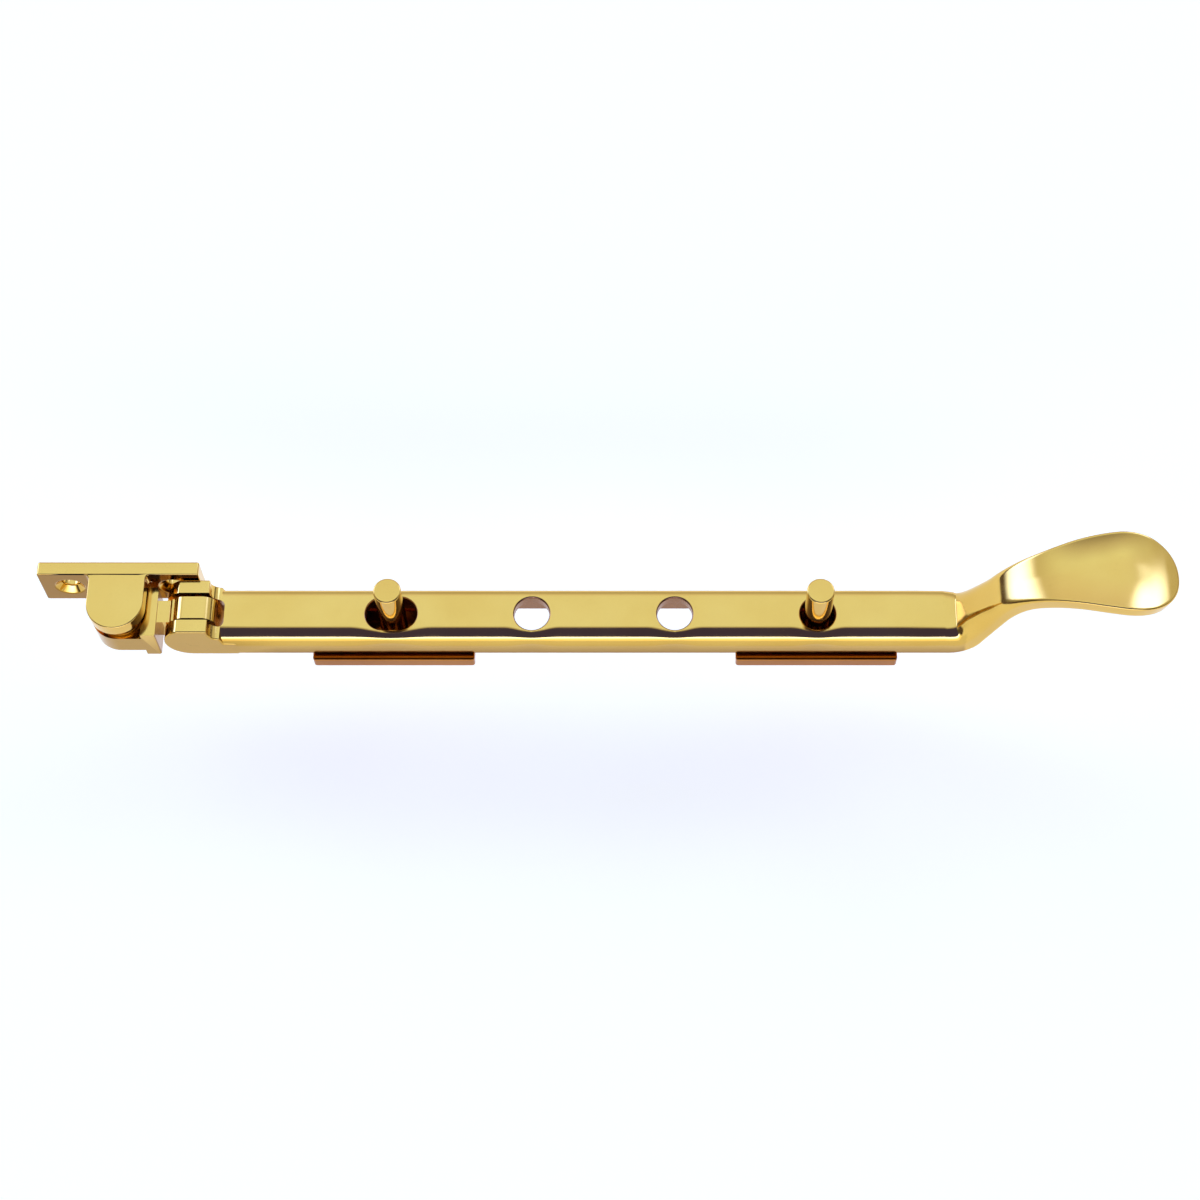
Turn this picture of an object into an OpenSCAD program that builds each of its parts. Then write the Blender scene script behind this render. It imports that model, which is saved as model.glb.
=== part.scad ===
// Casement window stay: a bracket on the sash, a swivel block riveted under
// its lug, a hinged arm with four peg holes, and two pegs on screw-down plates.
// X runs along the arm to its handle, Y points to the sash, Z is up.
// The origin is the middle of the bracket's back face, between its screw holes.

/* [Bracket] */
// Length of the bracket plate along the sash
bracket_l = 41.2; // [40:0.2:44]
// Height of the bracket plate
bracket_h = 14; // [14:0.5:16]
// Thickness of the bracket plate
bracket_t = 3.7; // [3:0.1:3.7]
// Distance between the two bracket screw holes
bracket_pitch = 26.6; // [25.6:0.2:28]
// Diameter of the screw holes in the bracket
screw_d = 4.5; // [3.5:0.1:4.8]
// Diameter of the screw countersinks
sink_d = 7.8; // [7:0.1:8.2]
// Half width of the lug
lug_r = 7.2; // [6.6:0.1:7.2]
// Thickness of the lug
lug_t = 4; // [3.6:0.1:4]

/* [Swivel] */
// Thickness of the swivel base
base_t = 6.7; // [6:0.1:7]
// Diameter of the pivot rivet
rivet_d = 5; // [4:0.1:5.4]
// Diameter of the hinge pin
pin_d = 3.6; // [3:0.1:4]
// Radius of the swivel eye
eye_r = 5.5; // [5:0.1:5.6]
// Width of the swivel eye along the pin
eye_w = 6.1; // [5.6:0.1:6.4]

/* [Arm] */
// Width of the arm
bar_w = 14.9; // [14.5:0.1:14.9]
// Depth of the arm
bar_h = 8.5; // [8.3:0.1:8.8]
// Radius of the arm's two upper edges
bar_r = 2.7; // [2:0.1:3]
// Thickness of the arm's top wall
bar_roof = 2.6; // [2.2:0.1:3]
// Width of the channel under the arm
channel_w = 11; // [10:0.1:11.4]
// Diameter of the round peg holes
hole_d = 9; // [8.4:0.1:9.4]
// Length of the oval peg hole
slot_l = 13.1; // [12.4:0.1:14]
// Distance between the round peg holes
pitch = 36.5; // [34:0.1:37]

/* [Pegs] */
// Diameter of the pegs
peg_d = 7; // [6.4:0.1:7.4]
// Height of the peg top above the origin
peg_top = 13.6; // [11:0.1:16]
// Length of a peg plate
plate_l = 41.6; // [38:0.2:44]
// Width of a peg plate
plate_w = 17.6; // [15:0.2:18]
// Thickness of a peg plate
plate_t = 3.4; // [2.8:0.1:4]
// Distance between the two screw holes of a peg plate
plate_pitch = 29; // [27:0.5:30]

/* [Hidden] */
$fn = 64;
yc = -11.5;              // middle of the lug, swivel and arm
top = bracket_h / 2;     // top of the bracket and its lug
lug_bot = top - lug_t;
boss_z = 2;              // top of the swivel's thrust boss
hx = 19.3;               // hinge pin axis
hz = -1.4;
flange_x = 6.2;          // swivel flange, across the end of the base
flange_t = 3.7;
flange_y0 = yc + 6.6;
base_r = 7;              // half width of the swivel base
flange_y1 = yc - base_r; // front face runs on from the base
eye_flat = 2.05;         // half length of the eye's level top
bar_top = 0.4;
bar_bot = bar_top - bar_h;
knuckle_x = 18.6;        // round end of the fork
knuckle_r = 6.7;
cheek_top = 4.7;
cheek_end = 23.4;
fork_w = 7.6;            // slot between the two cheeks
fork_end = 26.8;
bar_end = 213;           // where the bar turns up into the neck
channel_0 = 30;
channel_1 = 206;
hole_x1 = 69.4;          // oval hole
hole_x2 = 105.3;         // first round hole
peg_x1 = 69.6;
peg_x4 = hole_x2 + 2 * pitch;
plate_top = -8.9;
fit = 0.04;              // running clearance on a radius
brass = "#d8b450";
brass_dark = "#b98a38";

// a cylinder along Y
module ycyl(r, y0, y1) { translate([0, y1, 0]) rotate([-90, 0, 0]) cylinder(r = r, h = y0 - y1); }

// a screw hole with its countersink opening on the face at z = 0, going down
module sink(t) {
  translate([0, 0, -t - 1]) cylinder(d = screw_d, h = t + 2);
  depth = (sink_d - screw_d) / 2;
  translate([0, 0, -depth]) cylinder(d1 = screw_d, d2 = sink_d + 0.02, h = depth + 0.01);
}

// plate with small rounded corners, seen from above, middle at the origin
module round_plate(l, w, t, r) {
  linear_extrude(t) union() {
    square([l - 2 * r, w], center = true);
    square([l, w - 2 * r], center = true);
    for (i = [-1, 1], j = [-1, 1]) translate([i * (l / 2 - r), j * (w / 2 - r)]) circle(r);
  }
}

module bracket() {
  color(brass) difference() {
    union() {
      translate([-bracket_l / 2, -bracket_t, -bracket_h / 2]) cube([bracket_l, bracket_t, bracket_h]);
      translate([-lug_r, yc, lug_bot]) cube([2 * lug_r, -yc - 1, lug_t]);
      translate([0, yc, lug_bot]) cylinder(r = lug_r, h = lug_t);
      // small fillets where the lug leaves the plate
      for (i = [-1, 1]) translate([i * lug_r, -bracket_t, lug_bot]) difference() {
        translate([i > 0 ? -0.5 : -1.2, -1.2, 0]) cube([1.7, 1.7, lug_t]);
        translate([i * 1.2, -1.2, -1]) cylinder(r = 1.2, h = lug_t + 2);
      }
    }
    translate([0, yc, lug_bot - 1]) cylinder(d = rivet_d, h = lug_t + 2);
    for (i = [-1, 1]) translate([i * bracket_pitch / 2, -bracket_t, 0]) rotate([90, 0, 0]) sink(bracket_t);
  }
}

// rivet: straight shank up through the lug, countersunk head under the base
module pivot_rivet() {
  color(brass) translate([0, yc, 0]) union() {
    translate([0, 0, -base_t + 1.5]) cylinder(d = rivet_d, h = top + base_t - 1.5);
    translate([0, 0, -base_t]) cylinder(d1 = 8, d2 = rivet_d, h = 1.5);
  }
}

module pivot_washer() {
  color(brass_dark) translate([0, yc, boss_z + 0.1]) difference() {
    cylinder(r = 4.9, h = lug_bot - boss_z - 0.2);
    translate([0, 0, -1]) cylinder(r = rivet_d / 2 + 0.15, h = 4);
  }
}

// neck between flange and eye: a web with a level top
module neck() {
  translate([flange_x + flange_t - 0.5, yc - eye_w / 2, -6])
    cube([hx - flange_x - flange_t + 0.5, eye_w, 7.6]);
}

// eye: round below, with a level top and rounded shoulders
module eye() {
  r = eye_r - eye_flat;
  translate([hx, 0, hz]) ycyl(eye_r, yc + eye_w / 2, yc - eye_w / 2);
  for (i = [-1, 1]) translate([hx + i * eye_flat, 0, hz + eye_flat]) ycyl(r, yc + eye_w / 2, yc - eye_w / 2);
  translate([hx - eye_flat, yc - eye_w / 2, hz]) cube([2 * eye_flat, eye_w, eye_r]);
  translate([hx - eye_r, yc - eye_w / 2, hz]) cube([2 * eye_r, eye_w, eye_flat]);
}

module swivel() {
  color(brass) difference() {
    union() {
      translate([0, yc, -base_t]) cylinder(r = base_r, h = base_t);
      translate([0, yc - base_r, -base_t]) cube([flange_x + 1, 2 * base_r - 0.5, base_t]);
      translate([flange_x, flange_y1, -9]) cube([flange_t, flange_y0 - flange_y1, 11]);
      translate([0, yc, -1]) cylinder(r = 4.9, h = boss_z + 1);
      neck();
      eye();
    }
    translate([0, yc, -base_t - 1]) cylinder(r = rivet_d / 2 + fit, h = base_t + boss_z + 2);
    translate([0, yc, -base_t - 0.01]) cylinder(r1 = 4.1, r2 = rivet_d / 2 + fit, h = 1.62);
    translate([hx, 0, hz]) ycyl(pin_d / 2 + fit, yc + 5, yc - 5);
  }
}

module hinge_pin() {
  color(brass_dark) translate([hx, 0, hz]) ycyl(pin_d / 2, yc + bar_w / 2, yc - bar_w / 2);
}

// cross-section of the bar: rounded upper edges, slightly eased lower edges
module bar_section() {
  rb = 0.8;
  h = bar_top - bar_bot;
  translate([0, bar_bot]) union() {
    translate([-bar_w / 2, rb]) square([bar_w, h - rb - bar_r]);
    translate([-bar_w / 2 + bar_r, 0]) square([bar_w - 2 * bar_r, h]);
    translate([-bar_w / 2 + rb, 0]) square([bar_w - 2 * rb, h - bar_r]);
    for (i = [-1, 1]) translate([i * (bar_w / 2 - bar_r), h - bar_r]) circle(bar_r);
    for (i = [-1, 1]) translate([i * (bar_w / 2 - rb), rb]) circle(rb);
  }
}

// side outline of the fork: round end, flat-topped cheeks, hollow behind them
module fork_outline() {
  union() {
    intersection() {
      translate([knuckle_x, hz]) circle(knuckle_r);
      translate([knuckle_x - 10, bar_bot]) square([20, cheek_top - bar_bot]);
    }
    translate([knuckle_x, bar_bot]) square([cheek_end - knuckle_x, cheek_top - bar_bot]);
    difference() {
      translate([cheek_end - 1, bar_bot]) square([4.1, bar_top + 3 - bar_bot]);
      translate([cheek_end + 3, bar_top + 3]) circle(3);
      translate([cheek_end + 3, bar_top]) square([3, 4]);
    }
    translate([knuckle_x, bar_bot]) square([channel_0 - knuckle_x, -bar_bot + bar_top - bar_r]);
  }
}

// handle: a swept solid; the neck climbs steeply from the bar and opens into
// a shallowly dished thumb pad. Each station is [upper x, upper z, lower x,
// lower z, half width, upper edge radius, lower edge radius, dish depth].
stations = [
  [209, 0.2, 209, -7.9, 7.2, 2.8, 0.9, 0], [213.2, 0.3, 213.4, -8.0, 7.3, 4.0, 1.0, 0],
  [213.9, 1.0, 216.3, -7.6, 7.25, 4.7, 1.3, 0], [215.1, 2.9, 219.3, -5.7, 6.9, 5.0, 1.6, 0],
  [217.0, 5.7, 221.6, -1.8, 6.5, 4.8, 1.8, 0], [219.6, 9.6, 224.2, 3.5, 6.1, 4.0, 1.8, 0],
  [223.2, 14.9, 227.2, 9.4, 5.8, 2.4, 1.8, 0], [228.0, 19.2, 231.1, 14.0, 6.1, 1.1, 1.8, 0.1],
  [234.2, 22.5, 236.2, 17.1, 7.2, 0.6, 1.9, 0.25], [241.0, 24.7, 242.0, 19.5, 8.8, 0.5, 2.0, 0.4],
  [247.9, 25.4, 248.1, 20.3, 10.2, 0.5, 2.0, 0.45], [253.8, 25.2, 253.5, 20.2, 10.9, 0.5, 2.0, 0.45],
  [258.9, 24.2, 258.1, 19.2, 10.2, 0.5, 2.0, 0.4], [262.8, 22.8, 261.8, 17.9, 8.0, 0.6, 2.0, 0.25],
  [265.2, 21.8, 264.3, 17.1, 5.0, 0.6, 2.0, 0.15], [266.6, 21.0, 265.9, 16.5, 1.2, 0.6, 2.0, 0]];
steps = 2;               // rings between two stations
across = 13;             // points over the top of a ring, and as many under it

function cr(a, b, c, d, t) = 0.5 * (2 * b + (c - a) * t + (2 * a - 5 * b + 4 * c - d) * t * t
                           + (3 * b - a - 3 * c + d) * t * t * t);
function st(i) = stations[max(0, min(len(stations) - 1, i))];
function at(s) = let (i = floor(s), t = s - i) cr(st(i - 1), st(i), st(i + 1), st(i + 2), t);
function rim(r, d) = d >= r ? 0 : r - sqrt(max(0, r * r - (r - d) * (r - d)));
function ring(s) = let (p = at(s), a = [p[0], p[1]], b = [p[2], p[3]], h = norm(a - b), n = (a - b) / h)
  [for (k = [0 : 2 * across - 1])
    let (over = k < across, g = sin(-90 + 180 * (over ? k : 2 * across - 1 - k) / (across - 1)),
         u = p[4] * g, d = p[4] - abs(u),
         v = over ? h - rim(min(p[5], h / 2), d) - p[7] * (1 - g * g) : rim(min(p[6], h / 2.2), d))
    [b[0] + n[0] * v, yc + u, b[1] + n[1] * v]];

module handle() {
  m = 2 * across;
  n = (len(stations) - 1) * steps;
  smax = len(stations) - 1.001;
  pts = [for (i = [0 : n]) each ring(min(i / steps, smax))];
  polyhedron(points = pts, faces = concat(
    [[for (k = [m - 1 : -1 : 0]) k]],
    [[for (k = [0 : m - 1]) n * m + k]],
    [for (i = [0 : n - 1], k = [0 : m - 1]) let (k2 = (k + 1) % m)
      [i * m + k, (i + 1) * m + k2, (i + 1) * m + k]],
    [for (i = [0 : n - 1], k = [0 : m - 1]) let (k2 = (k + 1) % m)
      [i * m + k, i * m + k2, (i + 1) * m + k2]]), convexity = 6);
}

// cutter of the fork slot: its end curves in under the eye
module slot_cut() {
  w = fork_w / 2;
  translate([5, yc - w, bar_bot - 1]) cube([18.4, fork_w, 20]);
  intersection() {
    union() {
      translate([20, yc - w, bar_bot - 1]) cube([fork_end - 20 - 1.6, fork_w, 20]);
      translate([20, yc - w + 1.6, bar_bot - 1]) cube([fork_end - 20, fork_w - 3.2, 20]);
      for (i = [-1, 1]) translate([fork_end - 1.6, yc + i * (w - 1.6), bar_bot - 1]) cylinder(r = 1.6, h = 20);
    }
    union() {
      translate([fork_end - 6.6, 0, hz]) ycyl(6.6, yc + w + 1, yc - w - 1);
      translate([15, yc - w - 1, hz]) cube([fork_end - 15, fork_w + 2, 15]);
    }
  }
}

module stay_arm() {
  color(brass) difference() {
    union() {
      translate([25, yc, 0]) rotate([90, 0, 90]) linear_extrude(bar_end - 25) bar_section();
      translate([0, yc + bar_w / 2, 0]) rotate([90, 0, 0]) linear_extrude(bar_w) fork_outline();
      handle();
    }
    slot_cut();
    // channel under the bar
    translate([channel_0, yc - channel_w / 2, bar_bot - 1])
      cube([channel_1 - channel_0, channel_w, bar_top - bar_roof - bar_bot + 1]);
    // one oval hole and three round ones
    translate([hole_x1, yc, bar_top - bar_roof - 1]) linear_extrude(6) union() {
      for (i = [-1, 1]) translate([i * (slot_l - hole_d) / 2, 0]) circle(d = hole_d);
      square([slot_l - hole_d, hole_d], center = true);
    }
    for (i = [0 : 2]) translate([hole_x2 + i * pitch, yc, bar_top - bar_roof - 1]) cylinder(d = hole_d, h = 6);
    translate([hx, 0, hz]) ycyl(pin_d / 2, yc + 12, yc - 12);
  }
}

module peg_plate(x) {
  color(brass_dark) translate([x, yc, plate_top - plate_t]) difference() {
    round_plate(plate_l, plate_w, plate_t, 0.8);
    translate([0, 0, -1]) cylinder(r = 2.5, h = plate_t + 2);
    for (i = [-1, 1]) translate([i * plate_pitch / 2, 0, plate_t]) sink(plate_t);
  }
}

// peg: shouldered stud with a chamfered top, its spigot staked in the plate
module peg(x) {
  color(brass) translate([x, yc, 0]) union() {
    translate([0, 0, plate_top - plate_t]) cylinder(r = 2.5, h = plate_t + 1);
    translate([0, 0, plate_top]) cylinder(d = peg_d, h = peg_top - plate_top - 0.4);
    translate([0, 0, peg_top - 0.4]) cylinder(d1 = peg_d, d2 = peg_d - 0.8, h = 0.4);
  }
}

module peg_plate_inner() { peg_plate(peg_x1); }
module peg_inner() { peg(peg_x1); }
module peg_plate_outer() { peg_plate(peg_x4); }
module peg_outer() { peg(peg_x4); }

bracket();
pivot_rivet();
pivot_washer();
swivel();
hinge_pin();
stay_arm();
peg_plate_inner();
peg_inner();
peg_plate_outer();
peg_outer();
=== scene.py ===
import bpy, bmesh, math
from mathutils import Vector, Matrix


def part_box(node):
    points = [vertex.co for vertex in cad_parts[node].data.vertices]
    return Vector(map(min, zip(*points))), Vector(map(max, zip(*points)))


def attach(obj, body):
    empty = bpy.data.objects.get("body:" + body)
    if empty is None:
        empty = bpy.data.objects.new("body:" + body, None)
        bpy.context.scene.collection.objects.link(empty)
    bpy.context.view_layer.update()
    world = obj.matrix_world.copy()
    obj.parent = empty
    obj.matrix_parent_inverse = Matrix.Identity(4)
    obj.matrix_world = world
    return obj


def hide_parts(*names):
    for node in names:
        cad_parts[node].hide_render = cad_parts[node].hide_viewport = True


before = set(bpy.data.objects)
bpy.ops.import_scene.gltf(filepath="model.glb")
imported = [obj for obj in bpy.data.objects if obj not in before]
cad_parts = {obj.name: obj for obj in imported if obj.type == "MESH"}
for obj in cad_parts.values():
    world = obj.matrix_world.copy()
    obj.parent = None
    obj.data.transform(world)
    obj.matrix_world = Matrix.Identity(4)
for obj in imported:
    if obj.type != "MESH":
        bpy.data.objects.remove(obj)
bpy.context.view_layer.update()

MM = 0.001
scn = bpy.context.scene

# ------------------------------------------------------------------ placing
def mm(node):
    lo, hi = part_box(node)
    return [v / MM for v in lo], [v / MM for v in hi]

br_lo, br_hi = mm("bracket")
sw_lo, sw_hi = mm("swivel")
rv_lo, rv_hi = mm("pivot_rivet")
ws_lo, ws_hi = mm("pivot_washer")
pn_lo, pn_hi = mm("hinge_pin")
ar_lo, ar_hi = mm("stay_arm")
pi_lo, pi_hi = mm("peg_inner")
po_lo, po_hi = mm("peg_outer")
li_lo, li_hi = mm("peg_plate_inner")
lo_lo, lo_hi = mm("peg_plate_outer")

YC = (rv_lo[1] + rv_hi[1]) / 2            # middle plane of arm, swivel and lug
HX = (pn_lo[0] + pn_hi[0]) / 2            # hinge pin axis
HZ = (pn_lo[2] + pn_hi[2]) / 2
TOP = br_hi[2]
LUG_R = YC - br_lo[1]
LUG_T = 4.0
PLATE_T = 3.7
BAR_TOP = 0.4
BAR_BOT = -8.1
BAR_HW = 7.45
HOLES = (105.3, 141.8, 178.3)
OVAL = 69.4
PITCH = 26.6

# ------------------------------------------------------------------ mesh tools
def new_obj(name, verts, faces):
    me = bpy.data.meshes.new(name)
    me.from_pydata([tuple(c * MM for c in v) for v in verts], [], faces)
    bm = bmesh.new()
    bm.from_mesh(me)
    bmesh.ops.remove_doubles(bm, verts=bm.verts, dist=1e-7)
    bmesh.ops.recalc_face_normals(bm, faces=bm.faces)
    bm.to_mesh(me)
    bm.free()
    ob = bpy.data.objects.new(name, me)
    scn.collection.objects.link(ob)
    return ob

def arc(cx, cy, r, a0, a1, n):
    return [(cx + r * math.cos(math.radians(a0 + (a1 - a0) * i / n)),
             cy + r * math.sin(math.radians(a0 + (a1 - a0) * i / n))) for i in range(n + 1)]

def area2(pts):
    return sum(pts[i][0] * pts[(i + 1) % len(pts)][1] - pts[(i + 1) % len(pts)][0] * pts[i][1] for i in range(len(pts)))

def clean(pts, eps=1e-4):
    out = []
    for p in pts:
        if not out or math.hypot(p[0] - out[-1][0], p[1] - out[-1][1]) > eps:
            out.append(p)
    if math.hypot(out[0][0] - out[-1][0], out[0][1] - out[-1][1]) <= eps:
        out.pop()
    return out if area2(out) > 0 else out[::-1]

def fillet(pts, radii, n=6):
    """rounds each corner of a polygon by its own radius"""
    out = []
    m = len(pts)
    for i in range(m):
        p0, p1, p2 = Vector(pts[i - 1]), Vector(pts[i]), Vector(pts[(i + 1) % m])
        r = radii[i] if isinstance(radii, (list, tuple)) else radii
        if r <= 0:
            out.append(tuple(p1))
            continue
        a, b = (p0 - p1).normalized(), (p2 - p1).normalized()
        ang = a.angle(b)
        t = r / math.tan(ang / 2)
        c = p1 + (a + b).normalized() * (r / math.sin(ang / 2))
        s, e = p1 + a * t - c, p1 + b * t - c
        tot = s.angle(e)
        sg = 1 if s.x * e.y - s.y * e.x > 0 else -1
        for k in range(n + 1):
            f = sg * tot * k / n
            out.append((c.x + s.x * math.cos(f) - s.y * math.sin(f), c.y + s.x * math.sin(f) + s.y * math.cos(f)))
    return clean(out)

def inset(pts, d):
    m = len(pts)
    out = []
    for i in range(m):
        p0, p1, p2 = Vector(pts[i - 1]), Vector(pts[i]), Vector(pts[(i + 1) % m])
        e1, e2 = (p1 - p0).normalized(), (p2 - p1).normalized()
        n1, n2 = Vector((-e1.y, e1.x)), Vector((-e2.y, e2.x))
        n = n1 + n2
        k = n.dot(n1)
        out.append(tuple(p1 + n * (d / max(k, 0.35))))
    return out

AX = {"Z": lambda a, b, h: (a, b, h), "Y": lambda a, b, h: (a, h, b), "X": lambda a, b, h: (h, a, b)}

def prism(name, pts, h0, h1, r=0.0, axis="Z", n=4, r0=None, r1=None):
    """extruded outline whose two rims are rounded"""
    pts = clean(pts)
    r0 = r if r0 is None else r0
    r1 = r if r1 is None else r1
    lays = []
    if r0 > 0:
        lays += [(r0 * (1 - math.sin(math.pi / 2 * k / n)), h0 + r0 * (1 - math.cos(math.pi / 2 * k / n))) for k in range(n + 1)]
    else:
        lays.append((0, h0))
    if r1 > 0:
        lays += [(r1 * (1 - math.cos(math.pi / 2 * k / n)), h1 - r1 * (1 - math.sin(math.pi / 2 * k / n))) for k in range(n + 1)]
    else:
        lays.append((0, h1))
    f = AX[axis]
    verts, m = [], len(pts)
    for d, h in lays:
        verts += [f(p[0], p[1], h) for p in (inset(pts, d) if d > 1e-6 else pts)]
    faces = [list(range(m))[::-1], [(len(lays) - 1) * m + i for i in range(m)]]
    for L in range(len(lays) - 1):
        for i in range(m):
            j = (i + 1) % m
            faces.append([L * m + i, L * m + j, (L + 1) * m + j, (L + 1) * m + i])
    return new_obj(name, verts, faces)

def box_outline(x0, x1, y0, y1, r=0.0, n=4):
    return fillet([(x0, y0), (x1, y0), (x1, y1), (x0, y1)], r, n)

def lathe(name, prof, at=(0, 0, 0), axis="Z", n=96):
    """solid of revolution; prof is [(radius, height)...] from the bottom up"""
    verts, faces, rings = [], [], []
    for r, h in prof:
        if r < 1e-6:
            rings.append([len(verts)])
            verts.append((0, 0, h))
        else:
            rings.append(list(range(len(verts), len(verts) + n)))
            verts += [(r * math.cos(2 * math.pi * k / n), r * math.sin(2 * math.pi * k / n), h) for k in range(n)]
    for a, b in zip(rings, rings[1:]):
        for k in range(n):
            j = (k + 1) % n
            q = []
            for v in (a[k % len(a)], a[j % len(a)], b[j % len(b)], b[k % len(b)]):
                if v not in q:
                    q.append(v)
            if len(q) > 2:
                faces.append(q)
    if len(rings[0]) > 1 and rings[0] != rings[-1]:
        faces.append(rings[0][::-1])
    if len(rings[-1]) > 1:
        faces.append(rings[-1])
    if axis == "Y":
        verts = [(v[0], v[2], -v[1]) for v in verts]
    elif axis == "-Y":
        verts = [(v[0], -v[2], v[1]) for v in verts]
    verts = [(v[0] + at[0], v[1] + at[1], v[2] + at[2]) for v in verts]
    return new_obj(name, verts, faces)

def quarter(r_out, h, r, up=True, n=5):
    """points of a rounded rim on a lathe profile, outer radius r_out at height h"""
    pts = [(r_out - r + r * math.cos(math.pi / 2 * k / n), h - r + r * math.sin(math.pi / 2 * k / n)) for k in range(n + 1)]
    if not up:
        pts = [(p[0], 2 * h - p[1]) for p in pts][::-1]
    return pts

def apply_mods(ob):
    dg = bpy.context.evaluated_depsgraph_get()
    dg.update()
    me = bpy.data.meshes.new_from_object(ob.evaluated_get(dg), preserve_all_data_layers=True, depsgraph=dg)
    ob.modifiers.clear()
    old = ob.data
    ob.data = me
    bpy.data.meshes.remove(old)
    return ob

def boolean(ob, others, op):
    for o in others:
        m = ob.modifiers.new("b", "BOOLEAN")
        m.operation, m.object, m.solver = op, o, "EXACT"
        apply_mods(ob)
        bpy.data.objects.remove(o, do_unlink=True)
    return ob

def dissolve(ob, deg=0.3):
    bm = bmesh.new()
    bm.from_mesh(ob.data)
    bmesh.ops.remove_doubles(bm, verts=bm.verts, dist=2e-7)
    bmesh.ops.dissolve_limit(bm, angle_limit=math.radians(deg), verts=bm.verts, edges=bm.edges, delimit=set())
    bm.to_mesh(ob.data)
    bm.free()

def soften(ob, width, deg=38, seg=3, clamp=True):
    """rounds the sharp edges that are left, then shades by face area"""
    if width > 0:
        m = ob.modifiers.new("edge", "BEVEL")
        m.width, m.segments, m.limit_method, m.angle_limit = width * MM, seg, "ANGLE", math.radians(deg)
        m.use_clamp_overlap, m.miter_outer, m.harden_normals = clamp, "MITER_ARC", False
        apply_mods(ob)
    ob.data.shade_smooth()
    bm = bmesh.new()
    bm.from_mesh(ob.data)
    for e_ in bm.edges:
        e_.smooth = not (len(e_.link_faces) == 2 and e_.calc_face_angle(0) > math.radians(40))
    bm.to_mesh(ob.data)
    bm.free()
    m = ob.modifiers.new("wn", "WEIGHTED_NORMAL")
    m.mode, m.weight, m.keep_sharp = "FACE_AREA_WITH_ANGLE", 50, True
    apply_mods(ob)
    return ob

def paint_shade(ob, f):
    """painted shade on a face's corners, set from their place and the face's direction"""
    at = ob.data.attributes.new("painted_shade", "FLOAT", "CORNER")
    for p in ob.data.polygons:
        for li in p.loop_indices:
            at.data[li].value = f(ob.data.vertices[ob.data.loops[li].vertex_index].co / MM, p.normal)

def ramp01(v, lo, hi):
    t = max(0.0, min(1.0, (v - lo) / (hi - lo)))
    return t * t * (3 - 2 * t)

def finish_piece(ob, name, node, body, mat):
    ob.name = name
    ob.data.name = name
    ob.data.materials.clear()
    ob.data.materials.append(mat)
    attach(ob, body)
    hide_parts(node)
    return ob

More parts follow.
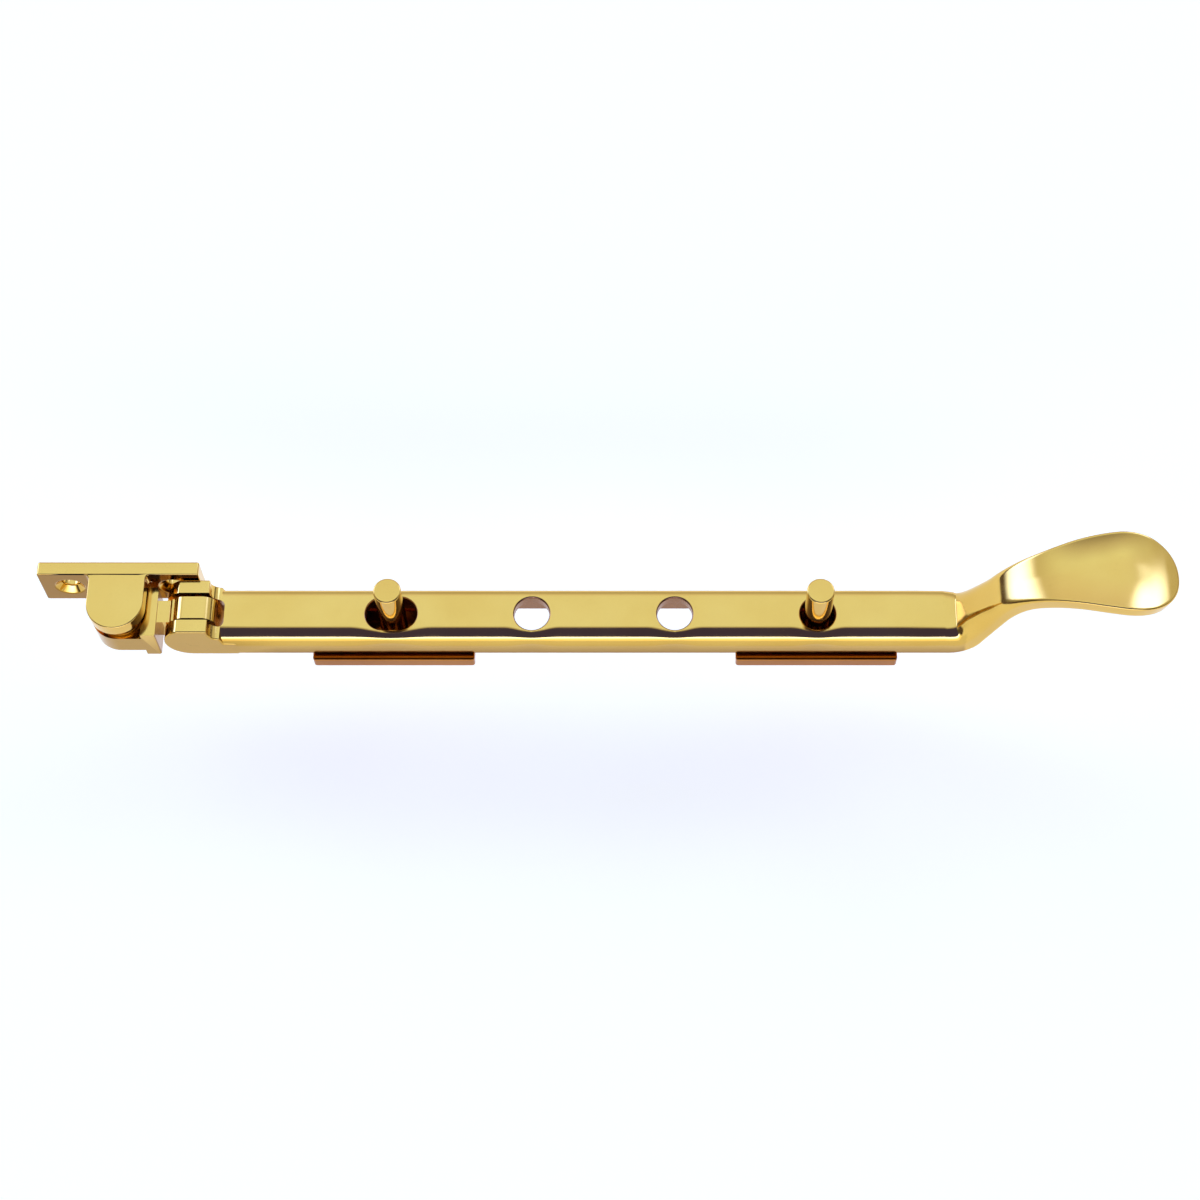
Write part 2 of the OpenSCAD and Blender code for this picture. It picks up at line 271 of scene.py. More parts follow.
# ------------------------------------------------------------------ materials
def brass(name, col, dark, rough=0.09, grain=(1, 1, 1), scratch=0.35, coat=0.12, tarnish=0.07):
    """lacquered polished brass: warm tone drifting over the casting, faint buffing lines and dulled patches"""
    m = bpy.data.materials.new(name)
    m.use_nodes = True
    nt = m.node_tree
    nt.nodes.clear()
    N, L = nt.nodes.new, nt.links.new
    out = N("ShaderNodeOutputMaterial")
    p = N("ShaderNodeBsdfPrincipled")
    p.inputs["Metallic"].default_value = 1.0
    p.inputs["IOR"].default_value = 1.5
    p.inputs["Coat Weight"].default_value = coat
    p.inputs["Coat Roughness"].default_value = 0.04
    p.inputs["Coat IOR"].default_value = 1.45
    L(p.outputs[0], out.inputs[0])
    tc = N("ShaderNodeTexCoord")
    # large soft drift of colour
    n1 = N("ShaderNodeTexNoise")
    n1.inputs["Scale"].default_value = 55
    n1.inputs["Detail"].default_value = 3
    L(tc.outputs["Object"], n1.inputs["Vector"])
    r1 = N("ShaderNodeValToRGB")
    r1.color_ramp.elements[0].position, r1.color_ramp.elements[1].position = 0.32, 0.72
    r1.color_ramp.elements[0].color = (*dark, 1)
    r1.color_ramp.elements[1].color = (*col, 1)
    L(n1.outputs["Fac"], r1.inputs["Fac"])
    # tiny tarnish freckles
    n2 = N("ShaderNodeTexNoise")
    n2.inputs["Scale"].default_value = 2200
    n2.inputs["Detail"].default_value = 4
    L(tc.outputs["Object"], n2.inputs["Vector"])
    r2 = N("ShaderNodeValToRGB")
    r2.color_ramp.elements[0].position, r2.color_ramp.elements[1].position = 0.24, 0.40
    r2.color_ramp.elements[0].color = (1 - tarnish, 1 - tarnish * 1.25, 1 - tarnish * 1.5, 1)
    r2.color_ramp.elements[1].color = (1, 1, 1, 1)
    L(n2.outputs["Fac"], r2.inputs["Fac"])
    mx = N("ShaderNodeMix")
    mx.data_type, mx.blend_type = "RGBA", "MULTIPLY"
    mx.inputs[0].default_value = 1.0
    L(r1.outputs["Color"], mx.inputs[6])
    L(r2.outputs["Color"], mx.inputs[7])
    # unbuffed inside faces are duller; their browner colour is painted shade in holes, slots and between parts
    ra = N("ShaderNodeAttribute")
    ra.attribute_name = "unbuffed_and_shade"
    rx = N("ShaderNodeMix")
    rx.data_type = "RGBA"
    L(ra.outputs["Fac"], rx.inputs[0])
    L(mx.outputs[2], rx.inputs[6])
    rx.inputs[7].default_value = (0.30, 0.135, 0.05, 1)
    # painted shade: front faces are mixed towards a dark brown, per corner
    sa = N("ShaderNodeAttribute")
    sa.attribute_name = "painted_shade"
    sx = N("ShaderNodeMix")
    sx.data_type = "RGBA"
    L(sa.outputs["Fac"], sx.inputs[0])
    L(rx.outputs[2], sx.inputs[6])
    sx.inputs[7].default_value = (0.27, 0.115, 0.001, 1)
    L(sx.outputs[2], p.inputs["Base Color"])
    # buffing lines, stretched along the polishing direction
    mp = N("ShaderNodeMapping")
    mp.inputs["Scale"].default_value = grain
    L(tc.outputs["Object"], mp.inputs["Vector"])
    n3 = N("ShaderNodeTexNoise")
    n3.inputs["Scale"].default_value = 700
    n3.inputs["Detail"].default_value = 5
    n3.inputs["Roughness"].default_value = 0.65
    L(mp.outputs[0], n3.inputs["Vector"])
    n4 = N("ShaderNodeTexNoise")
    n4.inputs["Scale"].default_value = 140
    n4.inputs["Detail"].default_value = 3
    L(tc.outputs["Object"], n4.inputs["Vector"])
    mr = N("ShaderNodeMapRange")
    mr.inputs["From Min"].default_value, mr.inputs["From Max"].default_value = 0.3, 0.75
    mr.inputs["To Min"].default_value, mr.inputs["To Max"].default_value = rough * 0.75, rough * 1.5
    L(n4.outputs["Fac"], mr.inputs["Value"])
    ma = N("ShaderNodeMath")
    ma.operation = "MULTIPLY_ADD"
    ma.inputs[1].default_value = 0.05 * scratch
    L(n3.outputs["Fac"], ma.inputs[0])
    L(mr.outputs[0], ma.inputs[2])
    rr = N("ShaderNodeMath")
    rr.operation = "MULTIPLY_ADD"
    L(ra.outputs["Fac"], rr.inputs[0])
    rr.inputs[1].default_value = 0.16
    L(ma.outputs[0], rr.inputs[2])
    L(rr.outputs[0], p.inputs["Roughness"])
    bp = N("ShaderNodeBump")
    bp.inputs["Strength"].default_value = 0.05 * scratch
    bp.inputs["Distance"].default_value = 0.00006
    L(n3.outputs["Fac"], bp.inputs["Height"])
    L(bp.outputs[0], p.inputs["Normal"])
    return m

COL, DRK = (0.80, 0.515, 0.105), (0.765, 0.475, 0.088)
M_ARM = brass("arm_brass", COL, DRK, 0.10, (0.12, 1, 1))
M_BRK = brass("bracket_brass", COL, DRK, 0.085, (0.2, 1, 1))
M_SWV = brass("swivel_brass", COL, DRK, 0.085, (1, 0.3, 1))
M_PEG = brass("peg_brass", (0.80, 0.51, 0.10), (0.75, 0.455, 0.082), 0.08, (1, 1, 0.15))
# screw plates: a darker, browner copy of the brass, painted shade for plates lying under the arm
M_PLT_SHADED = brass("plate_brass", (0.45, 0.165, 0.016), (0.38, 0.128, 0.012), 0.13, (0.2, 1, 1), tarnish=0.2)
M_PIN = brass("pin_brass", (0.80, 0.515, 0.105), (0.765, 0.475, 0.088), 0.1, (1, 1, 1))
M_WSH = brass("washer_brass", (0.66, 0.46, 0.2), (0.55, 0.36, 0.14), 0.28, (1, 1, 1), scratch=1.0, coat=0.0, tarnish=0.5)

# ------------------------------------------------------------------ bracket
hl = br_hi[0]
bz = br_hi[2]
plate = prism("bracket_mesh", box_outline(-hl, hl, -bz, bz, 0.6), -PLATE_T, 0.0, 0.5, "Y", 4, r0=0.0)
lug_out = ([(-LUG_R - 2.2, -1.0)] + arc(-LUG_R - 1.2, -PLATE_T - 1.2, 1.2, 90, 0, 6)
           + arc(0, YC, LUG_R, 180, 360, 64) + arc(LUG_R + 1.2, -PLATE_T - 1.2, 1.2, 180, 90, 6) + [(LUG_R + 2.2, -1.0)])
lug = prism("lug", lug_out, TOP - LUG_T, TOP, 0, "Z")
boolean(plate, [lug], "UNION")
cut = []
for s in (-1, 1):
    cut.append(lathe("sink", [(2.25, -6), (2.25, -1.65), (3.9, 0.0), (4.1, 0.2), (4.1, 1)], (s * PITCH / 2, -PLATE_T, 0), "-Y", 72))
boolean(plate, cut, "DIFFERENCE")
dissolve(plate)
soften(plate, 0.28, clamp=False)
boolean(plate, [lathe("hole", [(2.5, TOP - LUG_T - 2), (2.5, TOP + 2)], (0, YC, 0))], "DIFFERENCE")
soften(plate, 0)
# painted shade: the plate's front faces beside the lug are darkened
paint_shade(plate, lambda c, n: 0.88 * ramp01(-n.y, 0.6, 0.95) * ramp01(c.y, -6.5, -4.2) if c.y < -1 and abs(c.x) > LUG_R - 0.2 else 0.0)
finish_piece(plate, "bracket_casting", "bracket", "bracket", M_BRK)

# rivet: flush peened top, countersunk head below
rz = rv_lo[2]
rivet = lathe("rivet", [(0, rz)] + [(3.85, rz), (4.0, rz + 0.12), (2.52, rz + 1.5), (2.5, rz + 1.6), (2.5, TOP - 0.006), (0, TOP - 0.006)], (0, YC, 0))
soften(rivet, 0)
finish_piece(rivet, "rivet_shank", "pivot_rivet", "bracket", M_PIN)

wz0, wz1 = ws_lo[2], ws_hi[2]
washer = lathe("washer", [(2.65, wz0 + 0.05), (2.7, wz0)] + quarter(4.9, wz0, 0.15, False, 3) + quarter(4.9, wz1, 0.15, True, 3) + [(2.7, wz1), (2.65, wz1 - 0.05), (2.65, wz0 + 0.05)], (0, YC, 0))
soften(washer, 0)
finish_piece(washer, "thrust_washer", "pivot_washer", "swivel", M_WSH)

# ------------------------------------------------------------------ swivel
sz0 = rz
FX, FT, BASE_R = 6.2, 3.7, 7.0
base = prism("swivel_mesh", arc(0, YC, BASE_R, 90, 270, 64) + [(FX + 1, YC - BASE_R), (FX + 1, YC + BASE_R - 0.5)], sz0, 0.0, 0, "Z")
flange = prism("flange", fillet([(FX, YC - BASE_R), (FX + FT, YC - BASE_R), (FX + FT, YC + 6.6), (FX, YC + 6.6)], [0, 0.5, 0.6, 0.6], 5), -9.0, 2.0, 0, "Z")
boss = lathe("boss", [(4.9, -2), (4.9, 1.8), (4.7, 2.0)], (0, YC, 0))
ew = 6.1 / 2
EYE_T = HZ + 5.5
nk = [(FX + FT - 0.5, -6.0), (HX, -6.0), (HX, 2.5)] + arc(12.9, 2.5, 0.9, 0, -90, 8) + [(FX + FT - 0.5, 1.6)]
neck = prism("neck", nk, YC - ew, YC + ew, 0, "Y")
eo = arc(HX, HZ, 5.5, 180, 360, 48) + arc(HX + 2.05, EYE_T - 3.45, 3.45, 0, 90, 24) + arc(HX - 2.05, EYE_T - 3.45, 3.45, 90, 180, 24)
eye = prism("eye", eo, YC - ew, YC + ew, 0, "Y")
boolean(base, [flange, boss, neck, eye], "UNION")
boolean(base, [lathe("bore", [(2.54, -20), (2.54, 10)], (0, YC, 0)),
               lathe("csk", [(4.2, sz0 - 1), (4.2, sz0), (2.54, sz0 + 1.62)], (0, YC, 0)),
               prism("pinhole", arc(HX, HZ, 1.84, 0, 360, 64), YC - 6, YC + 6, 0, "Y")], "DIFFERENCE")
dissolve(base)
soften(base, 0.3)
# the flange's inner face and the faces beside the fork: duller as unbuffed, browner as painted shade between parts
at = base.data.attributes.new("unbuffed_and_shade", "FLOAT", "FACE")
for p_ in base.data.polygons:
    c_ = p_.center / MM
    inner = (p_.normal.x > 0.7 and 9 < c_.x < 10.5) or (c_.z < -0.3 and 9.9 < c_.x < 15 and abs(p_.normal.y) > 0.7)
    at.data[p_.index].value = 0.8 if inner else 0.0
# painted shade: front faces low on the swivel are darkened
paint_shade(base, lambda c, n: 0.58 * ramp01(-n.y, 0.2, 0.8) if c.z < 0.5 and c.x < 11 and c.y < YC - 0.5 else 0.0)
finish_piece(base, "swivel_casting", "swivel", "swivel", M_SWV)

pin = prism("pin", arc(HX, HZ, 1.8, 0, 360, 64), YC - 7.445, YC + 7.445, 0.0, "Y", 2)
soften(pin, 0)
# painted shade: the pin's end faces are darkened to match the arm's front around them
paint_shade(pin, lambda c, n: 0.44 * ramp01(-n.y, 0.3, 0.9))
finish_piece(pin, "hinge_pin_rod", "hinge_pin", "arm", M_PIN)

# ------------------------------------------------------------------ arm
def cr(a, b, c, d, t):
    return 0.5 * (2 * b + (c - a) * t + (2 * a - 5 * b + 4 * c - d) * t * t + (3 * b - a - 3 * c + d) * t ** 3)

# each station: top x, top z, underside x, underside z, half width, top rim radius, lower rim radius, dish
ST = [
    (210.5, 0.4, 210.5, -8.1, 7.45, 3.0, 0.9, 0.0),
    (213.2, 0.4, 213.4, -8.1, 7.45, 4.0, 1.0, 0.0),
    (213.9, 1.0, 216.3, -7.6, 7.25, 4.7, 1.3, 0.0),
    (215.1, 2.9, 219.3, -5.7, 6.9, 5.0, 1.6, 0.0),
    (217.0, 5.7, 221.6, -1.8, 6.5, 4.8, 1.8, 0.0),
    (219.6, 9.6, 224.2, 3.5, 6.1, 4.0, 1.8, 0.0),
    (223.2, 14.9, 227.2, 9.4, 5.8, 2.4, 1.8, 0.0),
    (228.0, 19.2, 231.1, 14.0, 6.1, 1.1, 1.8, 0.15),
    (234.2, 22.5, 236.2, 17.1, 7.2, 0.6, 1.9, 0.38),
    (241.0, 24.7, 242.0, 19.5, 8.8, 0.5, 2.0, 0.60),
    (247.9, 25.4, 248.1, 20.3, 10.2, 0.5, 2.0, 0.68),
    (253.8, 25.2, 253.5, 20.2, 10.9, 0.5, 2.0, 0.68),
    (258.9, 24.2, 258.1, 19.2, 10.4, 0.5, 2.0, 0.60),
    (262.8, 22.8, 261.8, 17.9, 8.5, 0.6, 2.0, 0.25),
    (265.2, 21.8, 264.3, 17.1, 5.8, 0.6, 2.0, 0.15),
    (266.4, 21.2, 265.6, 16.6, 2.4, 0.6, 2.0, 0.0),
    (266.7, 21.0, 266.0, 16.4, 0.001, 0.6, 2.0, 0.0),
]

def station(s):
    i = min(int(s), len(ST) - 2)
    t = s - i
    g = lambda k: ST[max(0, min(len(ST) - 1, k))]
    return [cr(g(i - 1)[c], g(i)[c], g(i + 1)[c], g(i + 2)[c], t) for c in range(8)]

params = []
for i in range(len(ST) - 1):
    k = 4 if i < 12 else 6
    params += [i + j / k for j in range(k)]
params.append(len(ST) - 1 - 1e-6)
rows = [station(s) for s in params]
# plan outline of the handle, as distance along the middle line against half width
mid, acc = [], 0.0
for i, r in enumerate(rows):
    c = ((r[0] + r[2]) / 2, (r[1] + r[3]) / 2)
    if i:
        acc += math.hypot(c[0] - mid[-1][0], c[1] - mid[-1][1])
    mid.append((c[0], c[1], acc))
S_END = mid[-1][2]
# the last stretch is closed as a half ellipse, so that the tip is truly round
S_CLOSE = mid[next(i for i, s in enumerate(params) if s >= 11.0)][2]
HW_MAX = max(r[4] for r in rows)
for i, r in enumerate(rows):
    s = mid[i][2]
    if s > S_CLOSE:
        q = (s - S_CLOSE) / (S_END - S_CLOSE)
        r[4] = HW_MAX * max(0.0, 1 - q ** 2.15) ** 0.5
poly = [(mid[i][2], rows[i][4]) for i in range(len(rows))]

def edge_dist(s, u):
    """shortest distance in the unrolled plan from a point to the outline"""
    u = abs(u)
    best = 1e9
    for (s0, w0), (s1, w1) in zip(poly, poly[1:]):
        if s0 - s > best or s - s1 > best:
            continue
        dx, dy = s1 - s0, w1 - w0
        l2 = dx * dx + dy * dy
        if l2 < 1e-12:
            continue
        t = max(0.0, min(1.0, ((s - s0) * dx + (u - w0) * dy) / l2))
        d = math.hypot(s - s0 - t * dx, u - w0 - t * dy)
        best = min(best, d)
    return best

NT = 22
GS = [math.sin(math.pi / 2 * (j / NT)) for j in range(-NT, NT + 1)]

def rim(r, d):
    return 0.0 if d >= r else r - math.sqrt(max(0.0, r * r - (r - d) ** 2))

def section(r, s, flat=False, front=None):
    xt, zt, xb, zb, hw, rt, rb, dish = r
    front = rt if front is None else front
    h = math.hypot(xt - xb, zt - zb)
    n = ((xt - xb) / h, (zt - zb) / h)
    rt, rb = min(rt, h * 0.5), min(rb, h * 0.45)
    pts = []
    def put(u, v):  # v measured up from the underside
        return (xb + n[0] * v, YC + u, zb + n[1] * v)
    for g in GS:                                   # over the top, front to back
        u = hw * g
        d = (hw - abs(u)) if flat else min(hw - abs(u), edge_dist(s, u))
        dz = dish * (1 - (1 - min(1.0, d / (0.8 * HW_MAX))) ** 2) if dish > 0 else 0.0
        pts.append(put(u, h - rim(front if g < 0 else rt, d) - dz))
    for g in GS[::-1]:                             # under, back to front
        u = hw * g
        d = (hw - abs(u)) if flat else min(hw - abs(u), edge_dist(s, u))
        pts.append(put(u, rim(rb, d)))
    return pts

rings = []
def bar_rt(x):
    """upper edge radius: polished tighter beside each peg hole"""
    r = 4.0
    for hx, w, a in ((OVAL, 10.5, 1.75), (HOLES[0], 7.0, 1.4), (HOLES[1], 7.0, 1.4), (HOLES[2], 7.0, 1.4)):
        if abs(x - hx) < w:
            r -= a * math.cos(math.pi / 2 * (x - hx) / w) ** 2
    return r

xs = [24.0, 40.0]
for hx, w in ((OVAL, 10.5), (HOLES[0], 7.0), (HOLES[1], 7.0), (HOLES[2], 7.0)):
    xs += [hx - w + 2 * w * k / 20 for k in range(21)]
xs += [200.0, 205.0]
for x in xs:
    rings.append(section([x, BAR_TOP, x, BAR_BOT, BAR_HW, 2.4, 0.9, 0.0], 0, True, bar_rt(x)))
for i, r in enumerate(rows[:-1]):
    q = max(0.0, min(1.0, (params[i] + 1) / 3))
    rings.append(section([r[0], r[1], r[2], r[3], r[4], r[5] * q + 2.4 * (1 - q), r[6], r[7]], mid[i][2], params[i] < 1, r[5] * q + 4.0 * (1 - q)))
verts = [p for ring in rings for p in ring]
m = len(rings[0])
faces = [list(range(m))]
for i in range(len(rings) - 1):
    for j in range(m):
        k = (j + 1) % m
        faces.append([i * m + j, (i + 1) * m + j, (i + 1) * m + k, i * m + k])
# close the tip with a fan of strips between top and underside
last = (len(rings) - 1) * m
half = m // 2
for j in range(half - 1):
    faces.append([last + j, last + m - 1 - j, last + m - 2 - j, last + j + 1])
arm = new_obj("arm_mesh", verts, faces)

# fork: round end, raised flat-topped cheeks, hollow behind them
KX, KR, CT, CE = 18.6, 6.7, 4.7, 23.4
a_top = math.degrees(math.asin((CT - HZ) / KR))
out = arc(KX, HZ, KR, 270, 180 - a_top, 44)[::-1]
out = [(CE + 6.6, BAR_BOT)] + arc(KX, HZ, KR, 270, 180 - a_top, 48)
out = [(CE + 6.6, BAR_BOT)] + arc(KX, HZ, KR, -90, -180, 24) + arc(KX, HZ, KR, 180, 180 - a_top, 16)
out += [(CE - 0.35, CT)] + arc(CE - 0.35, CT - 0.35, 0.35, 90, 0, 4)
out += arc(CE + 3.0, BAR_TOP + 3.0, 3.0, 180, 262, 14) + [(CE + 3.4, BAR_TOP - 2.7), (CE + 6.6, BAR_TOP - 2.7)]
fork = prism("fork", out, YC - BAR_HW, YC + BAR_HW, 0.4, "Y", 3)
boolean(arm, [fork], "UNION")

# slot: round-cornered from above; its end curves in under the eye
slot = prism("slot", fillet([(5, YC - 3.8), (26.8, YC - 3.8), (26.8, YC + 3.8), (5, YC + 3.8)], [0, 1.6, 1.6, 0], 6), -20, 20, 0, "Z")
so = [(4, -21), (23.4, -21)] + [(20.2 + 6.6 * math.cos(math.radians(t)), HZ + 6.6 * math.sin(math.radians(t))) for t in [-61 + 61 * k / 20 for k in range(21)]] + [(26.8, 21), (4, 21)]
boolean(slot, [prism("slot_side", so, YC - 10, YC + 10, 0, "Y")], "INTERSECT")
cuts = [slot]
ch = fillet([(YC - 5.5, -20), (YC + 5.5, -20), (YC + 5.5, -2.2), (YC - 5.5, -2.2)], [0, 0, 1.0, 1.0], 5)
cuts.append(prism("channel", ch, 30.0, 206.0, 0, "X"))

def flare(x, dx):
    """hole cutter with a flared mouth, stretched by dx each way along the arm"""
    r, f = 4.5, 0.42
    prof = [(r, -12), (r, BAR_TOP - f)] + [(r + f - f * math.cos(math.pi / 2 * k / 5), BAR_TOP - f + f * math.sin(math.pi / 2 * k / 5)) for k in range(1, 6)] + [(r + f, 6)]
    o = lathe("hole", prof, (0, 0, 0), "Z", 88)
    for v in o.data.vertices:
        if abs(v.co.x) > 1e-9:
            v.co.x += math.copysign(dx * MM, v.co.x)
        v.co.x += x * MM
        v.co.y += YC * MM
    return o

cuts += [flare(OVAL, 2.05)] + [flare(x, 0.0) for x in HOLES]
boolean(arm, cuts, "DIFFERENCE")
soften(arm, 0.34, 50, 3)
boolean(arm, [prism("pinhole", arc(HX, HZ, 1.8, 0, 360, 64), YC - 12, YC + 12, 0, "Y")], "DIFFERENCE")
soften(arm, 0)
def mark_unbuffed_and_shade(ob, test):
    """faces that were never buffed carry 1; they are duller and browner, the brown being painted shade"""
    at = ob.data.attributes.new("unbuffed_and_shade", "FLOAT", "FACE")
    for p in ob.data.polygons:
        c = p.center / MM
        at.data[p.index].value = 1.0 if test(c, p.normal) else 0.0

# hole and slot walls, channel and underside: duller as unbuffed, browner as painted shade
def arm_unbuffed_and_shade(c, n):
    if c.z > BAR_TOP - 0.05 or c.x > 206.5:
        return False
    for x, dx in ((OVAL, 2.05), (HOLES[0], 0), (HOLES[1], 0), (HOLES[2], 0)):
        if math.hypot(max(0.0, abs(c.x - x) - dx), c.y - YC) < 4.75:
            return True
    if 20 < c.x < 26.9 and abs(c.y - YC) < 3.9:
        return True
    if c.x > 29.9 and abs(c.y - YC) < 5.6 and c.z < -2.1:
        return True
    return n.z < -0.8 and c.x > 28 and c.z > -8.0
mark_unbuffed_and_shade(arm, arm_unbuffed_and_shade)
# painted shade: front faces darkened near the fork and more towards the bottom of the bar
def arm_painted_shade(c, n):
    if c.y > YC - 6 or c.x > 216:
        return 0.0
    q = ramp01(c.x, 30.5, 39.5)
    return (0.44 * (1 - q) + q * (0.18 + 0.62 * ramp01(-c.z, 2.5, 8.0))) * ramp01(-n.y, 0.3, 0.9)
paint_shade(arm, arm_painted_shade)
finish_piece(arm, "stay_arm_casting", "stay_arm", "arm", M_ARM)

# ------------------------------------------------------------------ pegs and plates
def peg(name, node, body, lo, hi):
    cx = (lo[0] + hi[0]) / 2
    pt = -8.9
    r = (hi[0] - lo[0]) / 2
    prof = [(0, lo[2]), (2.3, lo[2]), (2.5, lo[2] + 0.2), (2.5, pt - 0.0), (r - 0.12, pt), (r, pt + 0.12)]
    prof += [(r, hi[2] - 0.5)] + [(r - 0.42 + 0.42 * math.cos(math.pi / 2 * k / 6), hi[2] - 0.42 + 0.42 * math.sin(math.pi / 2 * k / 6)) for k in range(1, 7)] + [(0, hi[2])]
    o = lathe(name, prof, (cx, YC, 0), "Z", 96)
    soften(o, 0)
    return finish_piece(o, name, node, body, M_PEG)

peg("peg_stud_inner", "peg_inner", "peg_inner", pi_lo, pi_hi)
peg("peg_stud_outer", "peg_outer", "peg_outer", po_lo, po_hi)

def peg_plate(name, node, body, lo, hi, peg_lo, peg_hi):
    cx = (lo[0] + hi[0]) / 2
    px = (peg_lo[0] + peg_hi[0]) / 2
    o = prism(name, box_outline(lo[0], hi[0], lo[1], hi[1], 0.8, 6), lo[2], hi[2], 0.3, "Z", 4, r0=0.15)
    cs = [lathe("sink", [(2.25, -6), (2.25, -1.65), (3.9, 0.0), (4.1, 0.2), (4.1, 1)], (cx + s * 14.5, YC, hi[2]), "Z", 72) for s in (-1, 1)]
    cs.append(lathe("spigot", [(2.5, -20), (2.5, 0)], (px, YC, 0), "Z", 96))
    boolean(o, cs, "DIFFERENCE")
    soften(o, 0)
    return finish_piece(o, name, node, body, M_PLT_SHADED)

peg_plate("screw_plate_inner", "peg_plate_inner", "peg_inner", li_lo, li_hi, pi_lo, pi_hi)
peg_plate("screw_plate_outer", "peg_plate_outer", "peg_outer", lo_lo, lo_hi, po_lo, po_hi)

# ------------------------------------------------------------------ floor, light, camera
# low enough for a peg that is let down 30 mm to stay in view
fz = min(li_lo[2], lo_lo[2]) * MM - 0.0303
bm = bmesh.new()
bmesh.ops.create_grid(bm, x_segments=8, y_segments=8, size=3.0)
me = bpy.data.meshes.new("floor")
bm.to_mesh(me)
bm.free()
floor = bpy.data.objects.new("floor", me)
floor.location = (0.13, 0.0, fz)
scn.collection.objects.link(floor)
fm = bpy.data.materials.new("floor_paper")
fm.use_nodes = True
fp = fm.node_tree.nodes["Principled BSDF"]
fp.inputs["Base Color"].default_value = (0.93, 0.88, 0.62, 1)
fp.inputs["Roughness"].default_value = 0.9
fp.inputs["Specular IOR Level"].default_value = 0.1
fp.inputs["Emission Color"].default_value = (0.98, 1, 0.92, 1)
fp.inputs["Emission Strength"].default_value = 0.45
floor.data.materials.append(fm)

# soft light tent: pale overhead and behind, dark above the camera, bright low in front and at both sides
w = bpy.data.worlds.new("studio")
scn.world = w
w.use_nodes = True
nt = w.node_tree
nt.nodes.clear()
LK = nt.links.new

def math_node(op, *ins):
    n = nt.nodes.new("ShaderNodeMath")
    n.operation = op
    for i, v in enumerate(ins):
        if isinstance(v, (int, float)):
            n.inputs[i].default_value = v
        else:
            LK(v, n.inputs[i])
    return n.outputs[0]

def ramp(fac, stops, scale):
    n = nt.nodes.new("ShaderNodeValToRGB")
    el = n.color_ramp.elements
    for i, (p, c) in enumerate(stops):
        e_ = el[i] if i < 2 else el.new(p)
        e_.position = p
        e_.color = (c[0] / scale, c[1] / scale, c[2] / scale, 1)
    LK(fac, n.inputs[0])
    return n.outputs[0]

tcw = nt.nodes.new("ShaderNodeTexCoord")
sp = nt.nodes.new("ShaderNodeSeparateXYZ")
LK(tcw.outputs["Generated"], sp.inputs[0])
X_, Y_, Z_ = sp.outputs[0], sp.outputs[1], sp.outputs[2]
ang = math_node("ARCTAN2", math_node("MULTIPLY", Y_, -1.0), Z_)
fac = math_node("MULTIPLY_ADD", ang, 1 / (2 * math.pi), 0.5)
deg = lambda d: (d + 180) / 360
SC = 16.0
g = lambda v, r=1.0, b=1.0: (v * r, v, v * b)
VIO = (0.060, 0.058, 0.30)
mid_col = ramp(fac, [(deg(-110), g(0.5)), (deg(-90), g(0.66, .95, 1.3)), (deg(-60), g(0.66, .93, 1.4)), (deg(-38), g(1.00, .90, 1.5)), (deg(-22), g(1.25, .79, 1.5)),
                     (deg(-16), g(0.80, .88, 1.5)), (deg(-11), g(0.38, .95, 1.5)), (deg(-7), VIO), (deg(57), VIO), (deg(62), (3.9, 5.0, 12.5)), (deg(70), (2.5, 2.8, 4.6)), (deg(78), g(1.7, 1, 1.2)), (deg(90), g(1.6)), (deg(110), g(1.1))], SC)
side_col = ramp(math_node("MULTIPLY_ADD", Y_, 0.5, 0.5), [(0.0, g(1.6)), (0.06, g(1.5)), (0.14, g(0.10)), (0.36, g(0.12)), (0.50, g(0.55, .9, 1.3)), (0.70, g(0.75, .9, 1.3)), (1.0, g(0.6))], SC)

def smooth(v, lo, hi):
    n = nt.nodes.new("ShaderNodeMapRange")
    n.interpolation_type = "SMOOTHSTEP"
    LK(v, n.inputs["Value"])
    n.inputs["From Min"].default_value, n.inputs["From Max"].default_value = lo, hi
    return n.outputs[0]

def blend(f, a_, b_):
    n = nt.nodes.new("ShaderNodeMix")
    n.data_type = "RGBA"
    LK(f, n.inputs[0])
    for v, i in ((a_, 6), (b_, 7)):
        if isinstance(v, tuple):
            n.inputs[i].default_value = tuple(c / SC for c in v) + (1,)
        else:
            LK(v, n.inputs[i])
    return n.outputs[2]

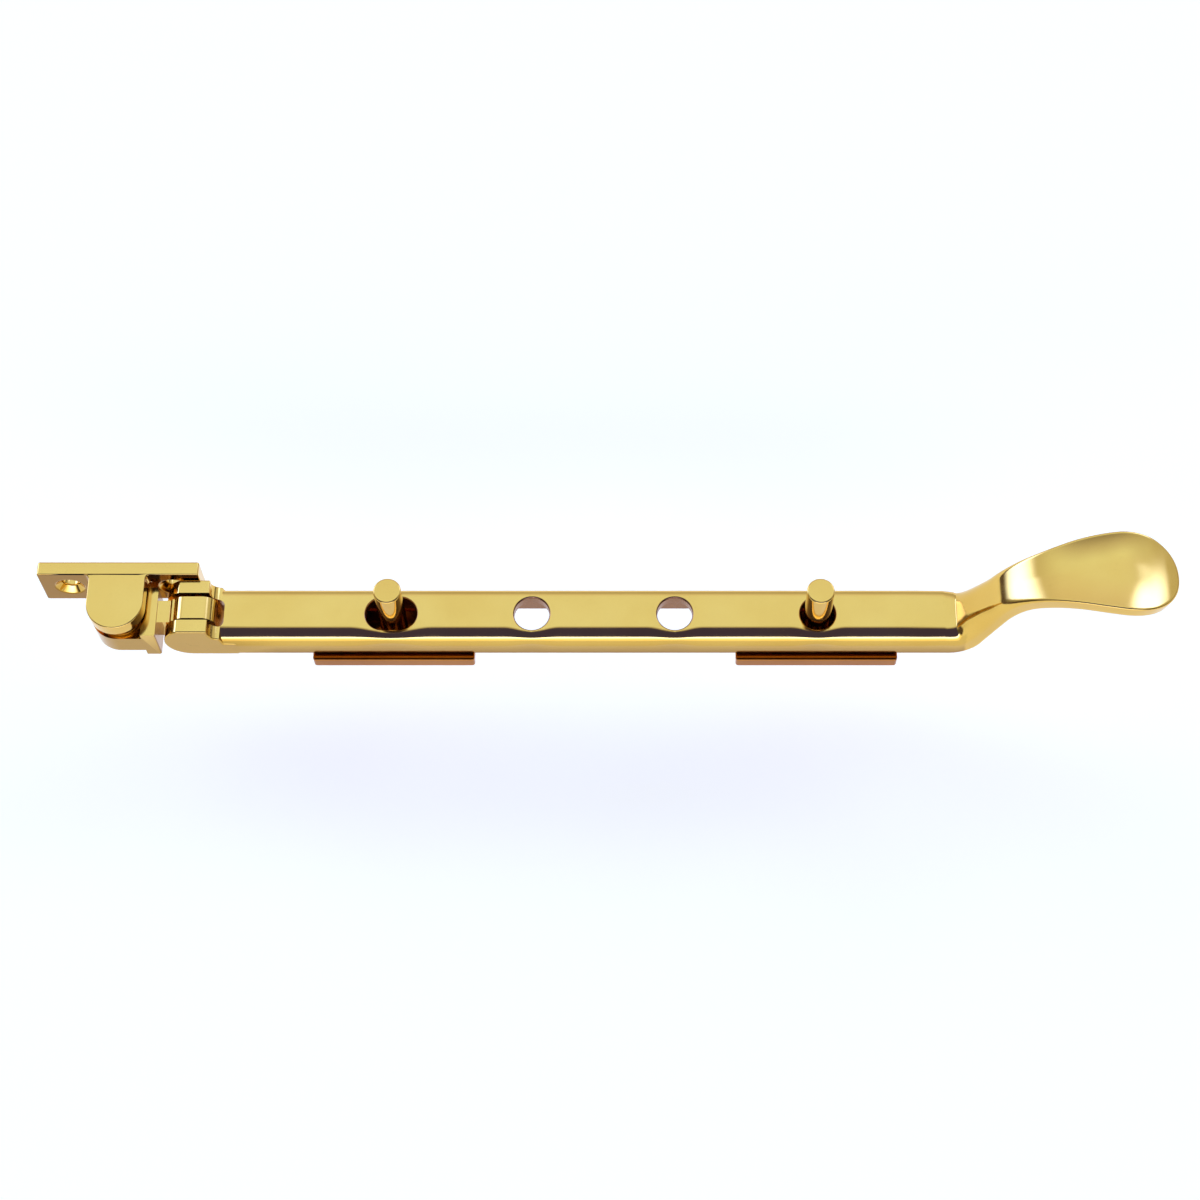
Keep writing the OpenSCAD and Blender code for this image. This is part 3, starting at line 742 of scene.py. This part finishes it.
def lobe(d, inner, outer):
    """soft round box in direction d, full inside inner degrees, gone beyond outer"""
    d = Vector(d).normalized()
    dot = math_node("MULTIPLY_ADD", X_, d.x, math_node("MULTIPLY_ADD", Y_, d.y, math_node("MULTIPLY", Z_, d.z)))
    return smooth(dot, math.cos(math.radians(outer)), math.cos(math.radians(inner)))

col = blend(smooth(math_node("ABSOLUTE", X_), 0.30, 0.75), mid_col, side_col)
low = smooth(Z_, 0.04, 0.38)
col = blend(math_node("MULTIPLY", math_node("SUBTRACT", 1.0, low), smooth(math_node("ABSOLUTE", X_), 0.45, 0.8)), col, (0.10, 0.08, 0.12))
col = blend(lobe((-0.75, 0.55, 0.42), 3, 21), col, (2.9, 3.9, 10.5))
col = blend(lobe((0.53, 0.60, 0.60), 1.5, 14), col, (2.9, 3.9, 10.5))
bgn = nt.nodes.new("ShaderNodeBackground")
bgn.inputs[1].default_value = SC
LK(col, bgn.inputs[0])
wo = nt.nodes.new("ShaderNodeOutputWorld")
LK(bgn.outputs[0], wo.inputs[0])

EL, F, S = 64.0, 2460.36, 3.956
e = math.radians(EL)
fwd = Vector((0, math.cos(e), -math.sin(e)))
up = Vector((0, math.sin(e), math.cos(e)))
rt = Vector((1, 0, 0))
tgt = Vector((0, YC, TOP)) * MM
D = F / S * MM
px, py = 114.0, 561.3 + -YC * S * math.sin(e)
x0, y0 = 650.0, 600.0
pos = tgt - fwd * D - rt * ((px - x0) / F * D) + up * ((py - y0) / F * D)
cd = bpy.data.cameras.new("photo_camera")
cd.sensor_width, cd.sensor_fit = 36.0, "HORIZONTAL"
cd.lens = F / 1200 * 36.0
cd.shift_x = (600.0 - x0) / 1200
cd.shift_y = 0.0
cd.clip_start, cd.clip_end = 0.01, 20
cam = bpy.data.objects.new("photo_camera", cd)
R = Matrix((rt, up, -fwd)).transposed()
cam.matrix_world = Matrix.Translation(pos) @ R.to_4x4()
scn.collection.objects.link(cam)
scn.camera = cam
scn.view_settings.view_transform = "Standard"
scn.view_settings.look = "None"

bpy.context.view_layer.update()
